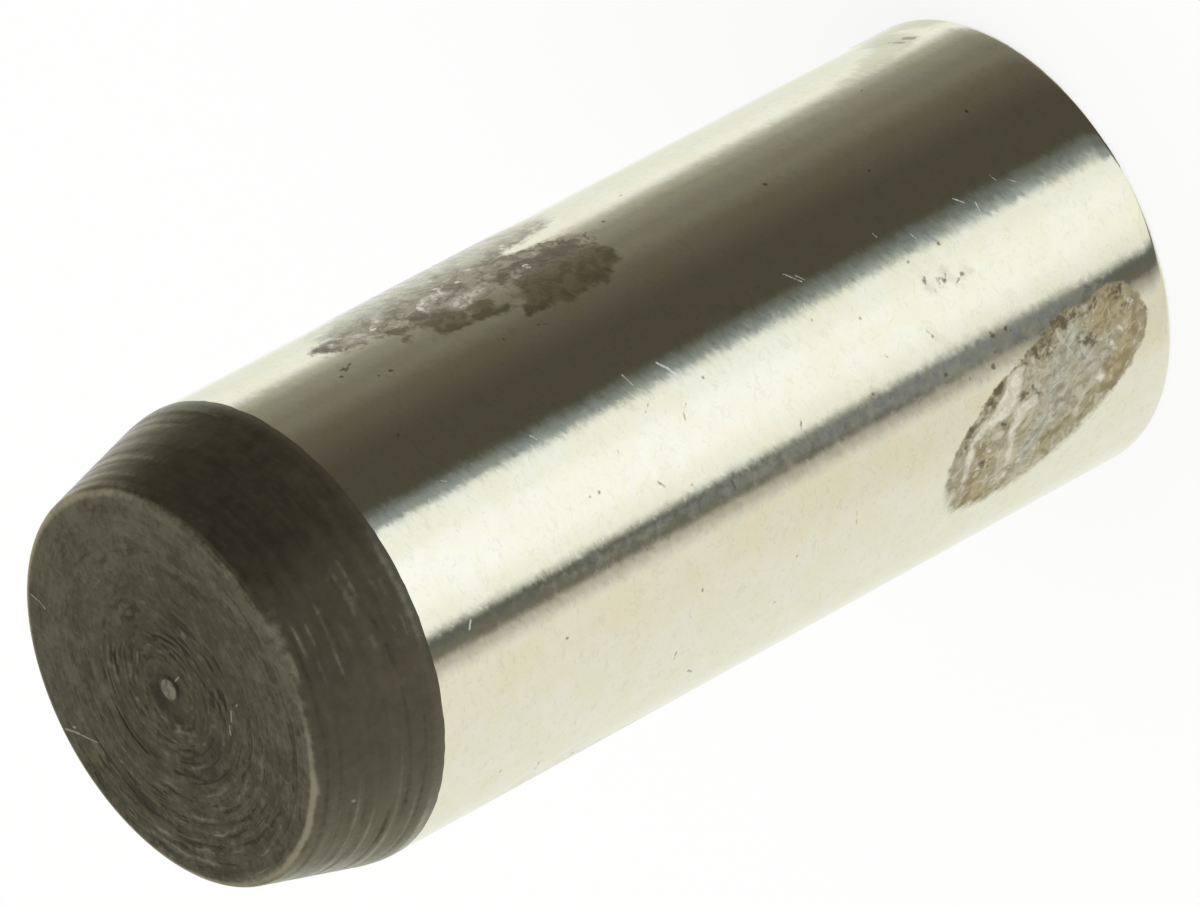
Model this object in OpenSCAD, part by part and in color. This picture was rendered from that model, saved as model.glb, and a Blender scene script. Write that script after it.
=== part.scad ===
// Dowel pin: a hardened and ground cylindrical pin, turned as one piece.
// One end has a long tapered lead and keeps the black skin of the hardening, the other end is plain.
// The pin stands on its plain end. The origin is the centre of that foot, and +Z runs to the lead face.

/* [Shank] */
// Diameter of the ground shank
pin_d = 10; // [6:0.5:20]
// Overall length, from the foot to the lead face
pin_l = 23; // [14:0.5:80]
// Radius that breaks the edge of the foot
foot_r = 0.15; // [0.05:0.05:0.4]

/* [Lead end] */
// Length of the lead taper along the axis, up to where its line meets the shank
lead_l = 2.6; // [1:0.1:4]
// Angle between the lead taper and the axis
lead_angle = 15; // [10:1:20]
// Radius that blends the lead taper into the shank
blend_r = 1.5; // [0.5:0.1:2]
// Radius worn round the rim of the lead face
rim_r = 0.2; // [0.05:0.05:0.4]

/* [Facing pip] */
// Diameter of the pip that the facing tool left at the centre of the lead face
pip_d = 0.45; // [0.3:0.05:0.8]
// Diameter of the shallow dish that the tool cut round the pip
dish_d = 1.3; // [1:0.1:2]
// Depth of that dish
dish_h = 0.05; // [0.02:0.01:0.1]
// Share of the dish's depth that the pip stands up in it
pip_share = 0.8; // [0.2:0.1:1]

/* [Colours] */
// Bright ground steel of the shank
ground_steel = "#c4c3b8";
// Black skin of the lead end
black_skin = "#4c493f";

/* [Hidden] */
$fn = 180;

pin_r = pin_d / 2;
face_r = pin_r - lead_l * tan(lead_angle);

// Corners of the half section, as [radius, height]
foot_corner = [pin_r, 0];
blend_corner = [pin_r, pin_l - lead_l];
rim_corner = [face_r, pin_l];

// Angles that the section turns through at each corner
foot_turn = 90;
blend_turn = lead_angle;
rim_turn = 90 - lead_angle;

// An arc that rounds a corner meets each side short of tangent, by this share of the turn.
// The crease is too small to see, and the arc crosses both sides cleanly.
meet_share = 1 / 12;

// Distance from a corner to where an arc of radius r meets its two sides
function side_length(r, turn) = r * tan(turn / 2);

// The arc that blends the taper into the shank starts here
blend_z = blend_corner[1] - side_length(blend_r, blend_turn);

// The black skin starts where the grinding wheel stopped, this much short of that arc
wheel_gap = 0.03;
skin_z = blend_z - wheel_gap;

// Top of the pip, and the radius of its foot in the dish
pip_z = pin_l - dish_h * (1 - pip_share);
pip_foot_r = pip_d / 2 + dish_h;

// Unit steps along the shank and along the taper, both away from the foot
up = [0, 1];
taper = [-sin(lead_angle), cos(lead_angle)];

// What lies between a sharp corner and the arc that rounds it, to be cut from the section.
// before and after are unit steps into and out of the corner, with the metal on their left.
module corner_waste(corner, before, after, r, turn) {
    side = side_length(r, turn);
    start = corner - side * before;
    finish = corner + side * after;
    meet_angle = turn * meet_share;
    half_arc = turn / 2 - meet_angle;
    half_chord = norm(finish - start) / 2;
    arc_r = half_chord / sin(half_arc);
    outward = (2 * corner - start - finish) / norm(2 * corner - start - finish);
    centre = (start + finish) / 2 - arc_r * cos(half_arc) * outward;
    past = arc_r * sin(meet_angle);
    difference() {
        polygon([start - past * before, corner + side * outward, finish + past * after]);
        translate(centre) circle(arc_r);
    }
}

// Half section of the shank, from the foot to the start of the black skin
module shank_section() {
    difference() {
        square([pin_r, skin_z]);
        corner_waste(foot_corner, [1, 0], up, foot_r, foot_turn);
    }
}

// Half section of the lead end, with the dish and the pip that facing leaves at its centre
module lead_section() {
    difference() {
        polygon([
            [0, skin_z],
            [pin_r, skin_z],
            blend_corner,
            rim_corner,
            [dish_d / 2, pin_l],
            [pip_foot_r, pin_l - dish_h],
            [pip_d / 2, pip_z],
            [0, pip_z]
        ]);
        corner_waste(blend_corner, up, taper, blend_r, blend_turn);
        corner_waste(rim_corner, taper, [-1, 0], rim_r, rim_turn);
    }
}

// The whole pin: one solid of revolution in two finishes
module pin() {
    color(ground_steel) rotate_extrude() shank_section();
    color(black_skin) rotate_extrude() lead_section();
}

pin();
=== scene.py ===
import math
import bpy
import numpy as np
from mathutils import Matrix, Vector


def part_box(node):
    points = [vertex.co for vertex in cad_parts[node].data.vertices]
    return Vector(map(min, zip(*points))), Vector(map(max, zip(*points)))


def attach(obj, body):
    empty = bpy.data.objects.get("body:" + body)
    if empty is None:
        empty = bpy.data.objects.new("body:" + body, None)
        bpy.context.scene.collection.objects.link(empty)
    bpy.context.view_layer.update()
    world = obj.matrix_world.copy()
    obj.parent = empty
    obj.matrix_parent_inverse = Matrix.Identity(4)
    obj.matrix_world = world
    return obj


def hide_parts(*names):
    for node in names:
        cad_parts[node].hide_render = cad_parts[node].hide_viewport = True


mm = 0.001
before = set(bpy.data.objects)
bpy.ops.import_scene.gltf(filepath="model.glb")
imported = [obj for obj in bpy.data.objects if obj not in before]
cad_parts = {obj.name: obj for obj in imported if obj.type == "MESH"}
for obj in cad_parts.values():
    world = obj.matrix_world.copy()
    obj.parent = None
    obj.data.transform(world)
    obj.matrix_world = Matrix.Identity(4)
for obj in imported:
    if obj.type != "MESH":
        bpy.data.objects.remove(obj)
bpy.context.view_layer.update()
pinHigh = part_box("pin")[1]
print("frame loaded")


class Wire:
    # One output socket of a node tree. Sums on wires add Math nodes, and node() adds any other.
    def __init__(self, tree, socket=None):
        self.tree = tree
        self.socket = socket
        self.split = None

    def node(self, kind, settings={}, values={}, out=0):
        made = self.tree.nodes.new(kind)
        for name, value in settings.items():
            setattr(made, name, value)
        for name, value in values.items():
            if isinstance(value, Wire):
                self.tree.links.new(value.socket, made.inputs[name])
            else:
                made.inputs[name].default_value = value
        if isinstance(out, tuple):
            return [Wire(self.tree, made.outputs[i]) for i in out]
        return Wire(self.tree, made.outputs[out]) if made.outputs else None

    def maths(self, operation, *others):
        terms = dict(enumerate((self,) + others))
        return self.node("ShaderNodeMath", {"operation": operation}, terms)

    def __add__(self, other):
        return self.maths("ADD", other)

    def __sub__(self, other):
        return self.maths("SUBTRACT", other)

    def __rsub__(self, other):
        return self.node("ShaderNodeMath", {"operation": "SUBTRACT"}, {0: other, 1: self})

    def __mul__(self, other):
        return self.maths("MULTIPLY", other)

    def __truediv__(self, other):
        return self.maths("DIVIDE", other)

    def __neg__(self):
        return self.maths("MULTIPLY", -1)

    __radd__ = __add__
    __rmul__ = __mul__

    def vectors(self, operation, *others, out=0):
        terms = dict(enumerate((self,) + others))
        return self.node("ShaderNodeVectorMath", {"operation": operation}, terms, out=out)

    def parts(self):
        # the three parts of a vector
        self.split = self.split or self.node("ShaderNodeSeparateXYZ", {}, {0: self}, out=(0, 1, 2))
        return self.split

    def joined(self, x, y, z):
        return self.node("ShaderNodeCombineXYZ", {}, {0: x, 1: y, 2: z})

    def step(self, low, high):
        # 0 up to low and 1 from high, smooth between; low may be the larger one
        return self.node("ShaderNodeMapRange", {"interpolation_type": "SMOOTHSTEP"},
                         {"Value": self, "From Min": low, "From Max": high})

    def past(self, middle, soft):
        # 0 before the middle and 1 past it, over a soft edge; a width below 0 swaps the sides
        return self.step(middle - soft / 2, middle + soft / 2)

    def blend(self, first, second):
        # mix of two colours, by this wire
        return self.node("ShaderNodeMix", {"data_type": "RGBA"}, {0: self, 6: first, 7: second}, out=2)

    def between(self, first, second):
        # mix of two numbers, by this wire
        return self.node("ShaderNodeMix", {}, {0: self, 2: first, 3: second})

    def noise(self, place, scale=1.0, detail=2, roughness=0.6, distortion=0.0):
        # random heights about 0.5, over a place or the three parts of one
        if isinstance(place, tuple):
            place = self.joined(*place)
        values = {"Vector": place, "Scale": scale, "Detail": detail, "Roughness": roughness}
        values["Distortion"] = distortion
        return self.node("ShaderNodeTexNoise", {}, values)


def rgb(red, green, blue):
    # a screen colour, 0 to 255, as the linear light that Blender mixes
    screen = [c / 255 for c in (red, green, blue)]
    return tuple(c / 12.92 if c < 0.04045 else ((c + 0.055) / 1.055) ** 2.4 for c in screen) + (1.0,)


# Soft cards that shining metal sees round the horizon. Each is a colour, the colour lower down if
# that differs, and the compass bearings in degrees where the card starts and ends, each with the
# width of its soft edge. Bearing 0 is the camera's side, and 90 is +X.
cards = {
    "warmWall": (rgb(230, 230, 212), None, -157, 36, -56, 10),
    "warmWallEnd": (rgb(228, 226, 208), None, -112, 50, -56, 12),
    "warmFade": (rgb(228, 223, 201), rgb(215, 210, 186), -84, 26, -56, 14),
    "brownEdge": (rgb(182, 177, 159), rgb(163, 158, 141), -54.7, 10, -28, 2),
    "darkStrip": (rgb(108, 105, 92), rgb(97, 95, 84), -47.8, 4.8, -28, 2),
    "blueEdge": (rgb(92, 93, 83), rgb(93, 95, 86), -41.5, 4, -28, 2),
    "whiteSheet": (rgb(243, 242, 226), rgb(230, 229, 212), -34.7, 7.6, 26, 5),
    "whiteMiddle": (rgb(255, 255, 246), rgb(246, 245, 228), -25, 16, 26, 5),
    "whiteShade": (rgb(244, 245, 230), rgb(236, 237, 222), 3, 12, 26, 5),
}
flag = {
    "leanFrom": -35.25,  # height from which the dark flag's edges lean
    "leanRange": 2.0,
    "shades": [
        # colour, bearing, soft edge, and degrees that it leans for each degree of height
        (rgb(140, 147, 140), 15.4, 3.4, 1.9),
        (rgb(103, 106, 97), 21.0, 5.4, 1.7),
        (rgb(75, 71, 59), 26.4, 5.4, 0.6),
    ],
    "farShades": [
        # colour, bearing, soft edge
        (rgb(97, 91, 75), 65, 28), (rgb(118, 115, 98), 82, 16), (rgb(138, 136, 118), 100, 16),
        (rgb(166, 164, 145), 111, 8), (rgb(240, 239, 223), 120.3, 12.5), (rgb(233, 235, 219), 136, 16),
        (rgb(255, 255, 253), 164, 18),
    ],
}
# Colours that the lead end sees higher up, each with its bearing and soft edge
upperCards = [
    (rgb(194, 191, 160), -166, 16), (rgb(210, 207, 175), -130, 20), (rgb(225, 222, 195), -108, 16),
    (rgb(208, 210, 182), -88, 16), (rgb(236, 227, 200), -50, 20), (rgb(220, 210, 181), -15, 24),
    (rgb(78, 77, 65), 22, 26), (rgb(100, 98, 80), 102, 30), (rgb(170, 161, 124), 124, 18),
    (rgb(242, 228, 192), 143, 14), (rgb(255, 243, 204), 168, 12),
]
studio = {
    "floorSize": 3.0,  # m
    "floorColour": rgb(240, 240, 238),
    "floorWhite": 0.82,  # share of the floor that the camera sees as plain white
    "behind": rgb(240, 241, 230),  # what shining metal sees where there is no card
    "upper": rgb(255, 246, 212),  # and higher up, where there is no upper card
    "upperFrom": -29,  # degrees above the horizon where the upper cards begin
    "upperTo": -18,
    "lowFrom": -33.7,  # height below which the cards turn to their lower colour
    "lowTo": -36.3,
    "heights": [
        # colour, height above the horizon where it starts, soft edge
        (rgb(225, 220, 188), 20, 30),
        (rgb(94, 88, 70), 50, 40),
    ],
    "lampPlace": (-0.30, -0.16, 0.42),  # m
    "lampSize": 0.35,
    "lampWatts": 0.6,
}


def worldLight():
    # Plain white light all round. Only what shines sees the cards, by their bearing.
    world = bpy.data.worlds.new("studioLight")
    bpy.context.scene.world = world
    world.use_nodes = True
    world.node_tree.nodes.clear()
    w = Wire(world.node_tree)
    x, y, z = w.node("ShaderNodeTexCoord", out=0).parts()
    bearing = x.maths("ARCTAN2", -y) * math.degrees(1)
    height = z.maths("ARCSINE") * math.degrees(1)
    colour = studio["behind"]
    low = height.step(studio["lowFrom"], studio["lowTo"])
    for shade, lowShade, start, startSoft, end, endSoft in cards.values():
        if lowShade:
            shade = low.blend(shade, lowShade)
        mask = bearing.past(start, startSoft) * bearing.past(end, -endSoft)
        colour = mask.blend(colour, shade)
    leaning = (height - flag["leanFrom"]).maths("MAXIMUM", -flag["leanRange"])
    leaning = leaning.maths("MINIMUM", flag["leanRange"])
    for shade, start, soft, lean in flag["shades"]:
        colour = (bearing - leaning * lean).past(start, soft).blend(colour, shade)
    for shade, start, soft in flag["farShades"]:
        colour = bearing.past(start, soft).blend(colour, shade)
    upper = studio["upper"]
    for shade, start, soft in upperCards:
        upper = bearing.past(start, soft).blend(upper, shade)
    colour = height.step(studio["upperFrom"], studio["upperTo"]).blend(colour, upper)
    for shade, start, soft in studio["heights"]:
        colour = height.past(start, soft).blend(colour, shade)
    glossy = w.node("ShaderNodeLightPath", out=3)
    back = w.node("ShaderNodeBackground", {}, {"Color": glossy.blend((1, 1, 1, 1), colour)})
    w.node("ShaderNodeOutputWorld", {}, {"Surface": back})


def stageFloor():
    # A flat pale sheet. The camera sees it nearly as plain white, with the object's shadow left in.
    half = studio["floorSize"] / 2
    corners = [(-half, -half, 0), (half, -half, 0), (half, half, 0), (-half, half, 0)]
    mesh = bpy.data.meshes.new("floor")
    mesh.from_pydata(corners, [], [(0, 1, 2, 3)])
    floor = bpy.data.objects.new("floor", mesh)
    bpy.context.scene.collection.objects.link(floor)
    floor.visible_glossy = False  # what shines sees the cards in its place
    material, w = newMaterial("paleFloor")
    paper = w.node("ShaderNodeBsdfDiffuse", {}, {"Color": studio["floorColour"]})
    white = w.node("ShaderNodeEmission")
    camera = w.node("ShaderNodeLightPath", out=0) * studio["floorWhite"]
    both = w.node("ShaderNodeMixShader", {}, {0: camera, 1: paper, 2: white})
    w.node("ShaderNodeOutputMaterial", {}, {"Surface": both})
    mesh.materials.append(material)


def newMaterial(name):
    material = bpy.data.materials.new(name)
    material.use_nodes = True
    material.node_tree.nodes.clear()
    return material, Wire(material.node_tree)


view = {
    "elevation": 33.97,  # degrees, looking down
    "roll": -118.22,  # degrees; it brings the lead end to the lower left
    "distance": 291.0,  # mm
    "lens": 442.0,  # mm
    "sensor": 36,  # mm across
    "clip": (0.01, 10),  # m
    "aim": (0.096, -5.301, 14.842),  # mm, the point at the middle of the picture
}


def stageCamera():
    data = bpy.data.cameras.new("camera")
    data.sensor_width = view["sensor"]
    data.lens = view["lens"]
    data.clip_start, data.clip_end = view["clip"]
    camera = bpy.data.objects.new("camera", data)
    bpy.context.scene.collection.objects.link(camera)
    tilt = math.radians(view["elevation"])
    back = Vector((0, -math.cos(tilt), math.sin(tilt)))
    turn = Matrix.Rotation(math.pi / 2 - tilt, 4, "X")
    turn = turn @ Matrix.Rotation(math.radians(view["roll"]), 4, "Z")
    place = (Vector(view["aim"]) + view["distance"] * back) * mm
    camera.matrix_world = Matrix.Translation(place) @ turn
    bpy.context.scene.camera = camera


def stageLamp():
    data = bpy.data.lights.new("softLamp", "AREA")
    data.size = studio["lampSize"]
    data.energy = studio["lampWatts"]
    lamp = bpy.data.objects.new("softLamp", data)
    bpy.context.scene.collection.objects.link(lamp)
    lamp.visible_glossy = False
    lamp.location = studio["lampPlace"]
    lamp.rotation_euler = (-lamp.location).to_track_quat("-Z", "Y").to_euler()


bpy.context.scene.view_settings.view_transform = "Standard"
worldLight()
stageFloor()
stageCamera()
stageLamp()
print("studio ready")


pin = {
    "radius": pinHigh.x / mm,  # mm, as packed
    "length": pinHigh.z / mm,
    "leadLength": 2.6,
    "leadAngle": 15.0,  # degrees
    "blendRadius": 1.5,
    "rimRadius": 0.2,
    "footRadius": 0.15,
    "wheelGap": 0.03,  # the grinding wheel stopped this far short of the blend
    "pipRadius": 0.225,
    "pipShare": 0.8,  # of the dish's depth
    "dishRadius": 0.65,
    "dishDepth": 0.05,
    "columns": 268,
    "shankRows": 158,
    "leadRows": 66,
    "faceRows": 104,
    "flatRows": 7,  # on the foot's flat and in the dish
    "arcPoints": (6, 7, 9),  # on the foot's edge, the blend and the rim
    "pipRows": (1.0, 0.85, 0.5, 0.0),  # as shares of its radius
}
degree = math.radians(1) * pin["radius"]  # mm round the pin for each degree of bearing

# Areas of the surface that get a finish of their own, as (bearing, bearing, height, height).
# A bearing is in degrees round the pin from the camera's side, and grows towards +X.
residueArea = (-69, -13, 0.25, 7.1)
stainArea = (31, 100, 9.9, 18.3)

# Marks on the shank. A place is a bearing in degrees and a height in mm, and a stroke is a chain
# of places, each with the radius of the brush there in mm.
residue = {
    "outline": [
        (-50, 6.45), (-45, 6.35), (-39, 6.0), (-36, 5.6), (-31, 5.1), (-28, 4.4), (-25, 3.8), (-22.3, 3.2),
        (-21, 2.7), (-22, 2.1), (-20, 1.6), (-22, 1.1), (-27, 0.78), (-33, 0.68), (-38, 0.8), (-43, 1.2),
        (-47, 1.6), (-51, 2.2), (-56, 2.9), (-60, 3.8), (-62, 4.6), (-62, 5.3), (-60, 6.0), (-55, 6.35),
    ],
    "wiped": [
        [(-50, 5.93, 0.05), (-46, 5.8, 0.07), (-41.5, 5.72, 0.05), (-39, 5.4, 0.1), (-38, 4.95, 0.13),
         (-35, 4.62, 0.22), (-31.5, 4.45, 0.22), (-29.5, 4.2, 0.08)],
        [(-57, 4.68, 0.02), (-50, 4.64, 0.05), (-44, 4.62, 0.06), (-40.5, 4.35, 0.16), (-38.5, 4.0, 0.08)],
        [(-57, 2.95, 0.05), (-52, 3.08, 0.04)],
        [(-41, 2.3, 0.02), (-42.5, 2.05, 0.06)],
    ],
    "pale": [
        [(-47, 5.95, 0.06), (-44, 6.1, 0.04)],
        [(-55, 4.3, 0.1), (-50, 4.1, 0.2), (-46, 3.7, 0.2), (-42, 3.3, 0.3), (-37, 3.2, 0.3),
         (-32, 3.1, 0.25), (-29, 2.8, 0.3), (-33, 2.5, 0.3), (-38, 2.3, 0.2), (-36, 1.9, 0.1)],
        [(-38, 3.9, 0.15), (-34, 3.9, 0.1)],
    ],
    "brown": [
        [(-36.7, 5.5, 0.06), (-35, 5.35, 0.13), (-33, 5.1, 0.15), (-31, 4.93, 0.1), (-29.5, 4.6, 0.03),
         (-28.3, 4.35, 0.05), (-26.7, 3.95, 0.16), (-27, 3.6, 0.24), (-24, 3.15, 0.15), (-22.7, 2.75, 0.13),
         (-23.2, 2.35, 0.11), (-24, 2.1, 0.06)],
        [(-32.4, 4.85, 0.08), (-31.5, 4.67, 0.06)],
        [(-38, 5.78, 0.07), (-41, 5.85, 0.02)],
        [(-20.8, 1.65, 0.05), (-22.5, 1.35, 0.07), (-26.5, 1.2, 0.03)],
        [(-36.7, 3.8, 0.012), (-35.2, 4.0, 0.025), (-35.8, 4.3, 0.012)],
        [(-39, 4.95, 0.02), (-42, 4.8, 0.03)],
        [(-48.5, 5.35, 0.03), (-50, 5.3, 0.02)],
        [(-30, 2.35, 0.03), (-32.5, 2.25, 0.02)],
    ],
    "ochre": [
        [(-61, 5.2, 0.2), (-57, 5.6, 0.4), (-52, 5.6, 0.3), (-49, 5.35, 0.25), (-44, 5.45, 0.2)],
        [(-54, 3.5, 0.15), (-50.5, 3.6, 0.15), (-50, 3.05, 0.08), (-50, 2.6, 0.14), (-46, 2.0, 0.25),
         (-41, 1.6, 0.34), (-35, 1.2, 0.32), (-29, 1.15, 0.32), (-25, 1.6, 0.33), (-28, 2.05, 0.2)],
    ],
    "flecks": [
        (-36.4, 1.66, -34.6, 1.72, 0.04), (-32.8, 1.4, -31.8, 1.52, 0.02),
        (-27.8, 1.06, -26.4, 1.14, 0.03), (-50.2, 5.45, -49.4, 5.55, 0.01),
        (-46.2, 5.22, -45.4, 5.3, 0.01), (-54.5, 4.28, -53.5, 4.34, 0.015),
    ],
}
stain = {
    "outline": [
        (56.5, 17.2), (61, 17.5), (64, 17.75), (67, 17.5), (67.5, 17.05), (71, 17.0), (77, 16.6),
        (84, 15.8), (90, 14.4), (91, 12.8), (86, 11.4), (76, 10.8), (69.5, 10.9), (67.5, 11.3), (66, 11.9),
        (65, 12.5), (63.5, 12.5), (61, 12.1), (59.5, 11.6), (58, 11.2), (54, 10.9), (50.5, 11.2),
        (49.5, 12.2), (50, 13.2), (52, 13.9), (51, 14.6), (55, 15.3), (57, 15.7), (56, 16.4),
    ],
    "darkLow": [
        (39.5, 13.85), (42, 13.7), (46, 13.6), (51, 13.35), (53.5, 12.8), (53, 11.9), (49, 11.2),
        (45, 11.0), (41.5, 11.15), (38.5, 11.9), (38, 12.8),
    ],
    "darkHigh": [
        (45.8, 15.6), (50, 15.55), (54, 15.75), (57.5, 15.55), (56.5, 15.0), (53, 14.85), (49.5, 14.7),
        (47, 14.85), (44.8, 14.7), (43.5, 14.3), (43.7, 13.8), (45.5, 13.75), (46.5, 14.2), (48, 14.0),
        (50.5, 13.9), (53, 14.4), (52.5, 14.75), (48.5, 14.6), (45.2, 14.95),
    ],
    "dark": [
        [(50.5, 15.68, 0.03), (53, 15.65, 0.05), (54.5, 16.0, 0.07), (56, 16.15, 0.1), (56.5, 16.6, 0.04)],
        [(50.7, 16.2, 0.04), (52, 16.1, 0.03)],
        [(55, 13.35, 0.08), (57.5, 13.1, 0.12), (56.5, 12.6, 0.12), (54.5, 12.2, 0.1), (55, 11.7, 0.12)],
        [(64.5, 16.15, 0.05), (65.5, 16.0, 0.08)],
        [(57.5, 14.1, 0.04), (60, 14.0, 0.07), (61.5, 13.8, 0.03)],
        [(62.5, 17.4, 0.07), (65.5, 17.45, 0.06)],
        [(70.8, 13.95, 0.05), (72.5, 13.9, 0.08)],
        [(62, 14.75, 0.03), (64, 14.55, 0.05), (66, 14.3, 0.04)],
    ],
    "pale": [
        [(57, 15.1, 0.1), (60.5, 14.95, 0.2), (62.5, 14.6, 0.2), (60, 14.4, 0.12)],
        [(54, 14.5, 0.25), (55, 14.0, 0.2)],
        [(58, 16.6, 0.15), (62, 16.7, 0.2), (61, 17.0, 0.1)],
        [(62, 16.2, 0.08), (66, 15.8, 0.12)],
    ],
    "glints": [
        (58, 15.2, 60.5, 15.12, 0.025), (61, 15.0, 62.8, 14.85, 0.03), (60.3, 14.68, 62.2, 14.62, 0.025),
        (61, 14.45, 63.4, 14.36, 0.025), (63.5, 14.3, 65, 14.32, 0.025), (60.6, 13.82, 63, 13.9, 0.012),
        (65, 13.38, 66.3, 13.4, 0.02), (70.3, 14.08, 71.8, 14.0, 0.02), (62.6, 17.28, 64.3, 17.2, 0.025),
        (65.2, 16.88, 68, 17.02, 0.03), (61.6, 16.32, 63, 16.22, 0.02), (63.6, 16.0, 66.6, 15.92, 0.03),
        (53.6, 12.68, 55, 12.64, 0.01), (64.5, 12.1, 65.2, 11.7, 0.02), (67.5, 12.32, 70, 12.2, 0.012),
    ],
}
# A thin bluish haze on the ground steel
haze = [
    [(-19.2, 1.4, -0.1), (-19.4, 2.6, 0.24), (-19.7, 4.0, 0.29), (-20.1, 6.0, 0.28), (-19.9, 7.4, 0.22),
     (-19.6, 9.0, 0.19), (-20.1, 11.0, 0.14), (-20.2, 13.0, 0.04), (-20.2, 15.5, 0.0), (-20.2, 17.5, -0.08),
     (-20.2, 19.0, -0.2)],
    [(-2.6, 5.62, 0.03), (-0.6, 5.72, 0.07), (1.2, 5.68, 0.04)],
    [(-3.0, 4.95, 0.05), (-1.6, 4.66, 0.07)],
    [(-1.6, 5.44, 0.07), (-0.4, 5.2, 0.08)],
    [(-12.2, 6.1, 0.0), (-10.0, 6.2, 0.0)],
    [(76, 1.15, 0.1), (70.5, 1.35, 0.2), (65, 1.2, 0.15)],
]
# and places where it is duller and darker; the third stroke runs along the foot's edge
dullStreaks = [
    [(-87, 12.5, 0.1), (-85, 14.5, 0.35), (-84, 16.2, 0.4), (-85, 18.0, 0.25)],
    [(-80, 15.2, 0.1), (-79, 16.6, 0.15), (-81, 18.4, 0.1)],
    [(69, 0.1, 0.45), (76, 0.3, 0.6), (84, 0.8, 0.55)],
    [(61.5, 3.4, 0.15), (63, 2.4, 0.35), (66.5, 1.4, 0.4), (74, 1.2, 0.4)],
]
# Small dark specks as (bearing, height, radius)
specks = [
    (5, 8.62, 0.032), (0.1, 7.57, 0.026), (-15.3, 9.93, 0.03), (-6.7, 15.33, 0.018), (5, 11.6, 0.012),
    (-6.7, 15.07, 0.01), (-1, 14.25, 0.012), (-17, 8.02, 0.03), (-25.3, 4.9, 0.045), (-25.2, 5.55, 0.02),
    (-22, 4.75, 0.015), (-18.2, 4.35, 0.03), (-21.4, 6.1, 0.02), (-15.5, 12.95, 0.01),
    (-46.7, 13.55, 0.018), (-41, 13.2, 0.02), (-34.5, 16.85, 0.02), (-46, 10.6, 0.01), (-57, 11.1, 0.01),
    (63, 9.4, 0.03), (41, 7.2, 0.02), (30.6, 5.15, 0.0), (32.5, 2.28, 0.005), (6.7, 4.98, 0.04),
    (6.2, 5.85, 0.01), (27, 18.3, 0.02), (54.2, 3.4, 0.02), (52.2, 17.78, 0.045), (36.7, 14.72, 0.01),
    (37.2, 12.82, 0.01), (39, 12.8, 0.01), (44.5, 17.45, 0.03), (44, 17.15, 0.02), (56, 10.45, 0.035),
    (50, 18.0, 0.02), (-65, 18.4, 0.012), (42.5, 13.5, 0.02), (-1.2, 5.32, 0.06), (-0.5, 5.38, 0.03),
    (0.5, 5.74, 0.03), (-2.7, 4.96, 0.03), (-2.0, 4.84, 0.025), (-11.6, 6.14, 0.03), (-10.4, 7.4, 0.008),
    (-11.5, 5.3, 0.0), (-18.4, 4.72, 0.05), (-17.5, 4.74, 0.03), (-19.4, 4.22, 0.02),
]
# and scratches as (bearing, height, bearing, height, half width)
darkScratches = [
    (-16.3, 9.97, -14.0, 9.9, 0.012), (-1.6, 14.26, -0.4, 14.24, 0.006), (-13, 13.56, -11, 13.7, 0.0),
    (-1.4, 12.46, 0.6, 12.4, 0.002), (0.6, 12.4, 1.7, 12.26, -0.002), (-21.3, 11.95, -19.2, 11.99, 0.012),
    (-9.8, 6.22, -11.6, 6.14, 0.005), (34.4, 13.68, 35.7, 13.86, 0.006), (-46, 8.96, -42.5, 8.94, -0.01),
    (-72, 17.1, -76, 17.07, 0.018), (-79.5, 15.9, -81, 15.8, 0.03), (65.2, 1.06, 67.2, 1.1, 0.075),
    (65.5, 1.3, 69.5, 1.38, 0.03), (4.4, 13.2, 6.8, 12.92, -0.004), (-66.2, 13.25, -68, 13.1, 0.025),
    (51, 17.8, 52.8, 17.58, 0.035), (-2.0, 5.33, -0.4, 5.2, 0.012), (-1.6, 5.42, -0.2, 5.44, 0.01),
    (0.0, 5.75, 1.3, 5.7, 0.016), (-3.2, 5.02, -2.3, 4.86, 0.004), (-2.9, 5.62, -2.3, 5.6, 0.006),
    (-10.9, 7.36, -10.3, 7.44, -0.006), (-72, 11.75, -70, 11.8, -0.01), (-64, 9.65, -66, 9.6, -0.005),
    # the first two here are painted shade on the foot's rounded edge
    (2.5, 0.07, 9, 0.07, 0.01), (26, 0.06, 58, 0.06, 0.03), (-58, 13.85, -55.5, 13.82, -0.01),
]
# Light scratches, in the same way: real scratches painted pale where they catch the light, as painted
# glints; the one from bearing -2.8 at height 5.6 is a painted highlight beside the dents there
glintingScratches = [
    (13.9, 8.3, 17.6, 8.55, 0.003), (14.0, 8.22, 15.9, 8.33, 0.001), (14.8, 6.15, 16.0, 6.17, 0.002),
    (10.0, 5.36, 11.6, 5.42, 0.009), (12.3, 3.87, 14.4, 4.04, 0.005), (8.9, 3.66, 11.2, 3.64, 0.01),
    (13.4, 2.9, 15.4, 2.95, -0.002), (10.2, 2.45, 12.4, 2.65, 0.0), (8.2, 8.57, 9.2, 8.56, 0.006),
    (8.6, 12.12, 10.8, 12.2, 0.026), (10.8, 12.2, 13.1, 12.34, 0.018), (11.2, 13.12, 14.4, 13.19, 0.003),
    (6.3, 5.78, 7.8, 5.85, 0.008), (10.4, 15.75, 12.2, 15.85, 0.005), (11.8, 18.1, 12.6, 18.2, 0.004),
    (-2.8, 5.6, -0.6, 5.68, 0.02), (-20.4, 19.12, -18.8, 19.04, 0.02),
]
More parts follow.
